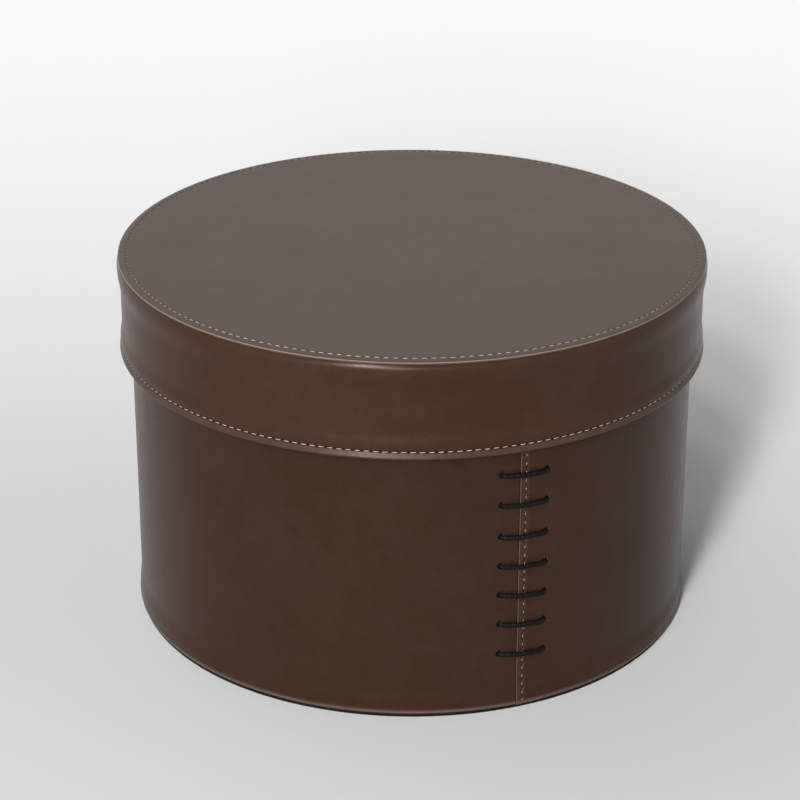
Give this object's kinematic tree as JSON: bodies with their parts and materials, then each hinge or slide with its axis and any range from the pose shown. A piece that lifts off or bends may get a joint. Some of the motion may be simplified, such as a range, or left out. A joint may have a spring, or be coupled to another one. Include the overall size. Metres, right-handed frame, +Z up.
{
  "type": "collar box",
  "caption": "Round brown leather collar box with a deep lift-off lid, cream stitching and a black laced seam, lined inside.",
  "frame": {"origin": "on the floor, at the centre of the round underside", "axes": "+Z up along the box's axis, the laced seam faces -Y, +X to the right of the seam"},
  "size_m": [0.25, 0.25, 0.16],
  "materials": {
    "leather": "smooth satin, dark chocolate brown",
    "lace": "waxed black cord",
    "lining": "plain woven cotton",
    "board": "plain grey-brown board",
    "filler_card": "plain card",
    "foot_felt": "dense black felt"
  },
  "bodies": {
    "base": {"foot_pad": "foot_felt", "underside_filler": "filler_card", "floor_board": "board", "wall_inner_board": "board", "wall_outer_board": "board", "wall_leather": "leather", "seam_lace": "lace", "wall_lining": "lining", "floor_card": "filler_card", "floor_lining": "lining"},
    "lid": {"lid_board": "board", "lid_band_board": "board", "lid_band_leather": "leather", "lid_filler": "filler_card", "lid_top_leather": "leather", "lid_card": "filler_card", "lid_card_lining": "lining", "lid_band_lining": "lining"}
  },
  "joints": [
    {"name": "lid_lift", "type": "slide", "parent": "base", "child": "lid", "axis": [0, 0, 1], "range_m": [0, 0.1]}
  ]
}
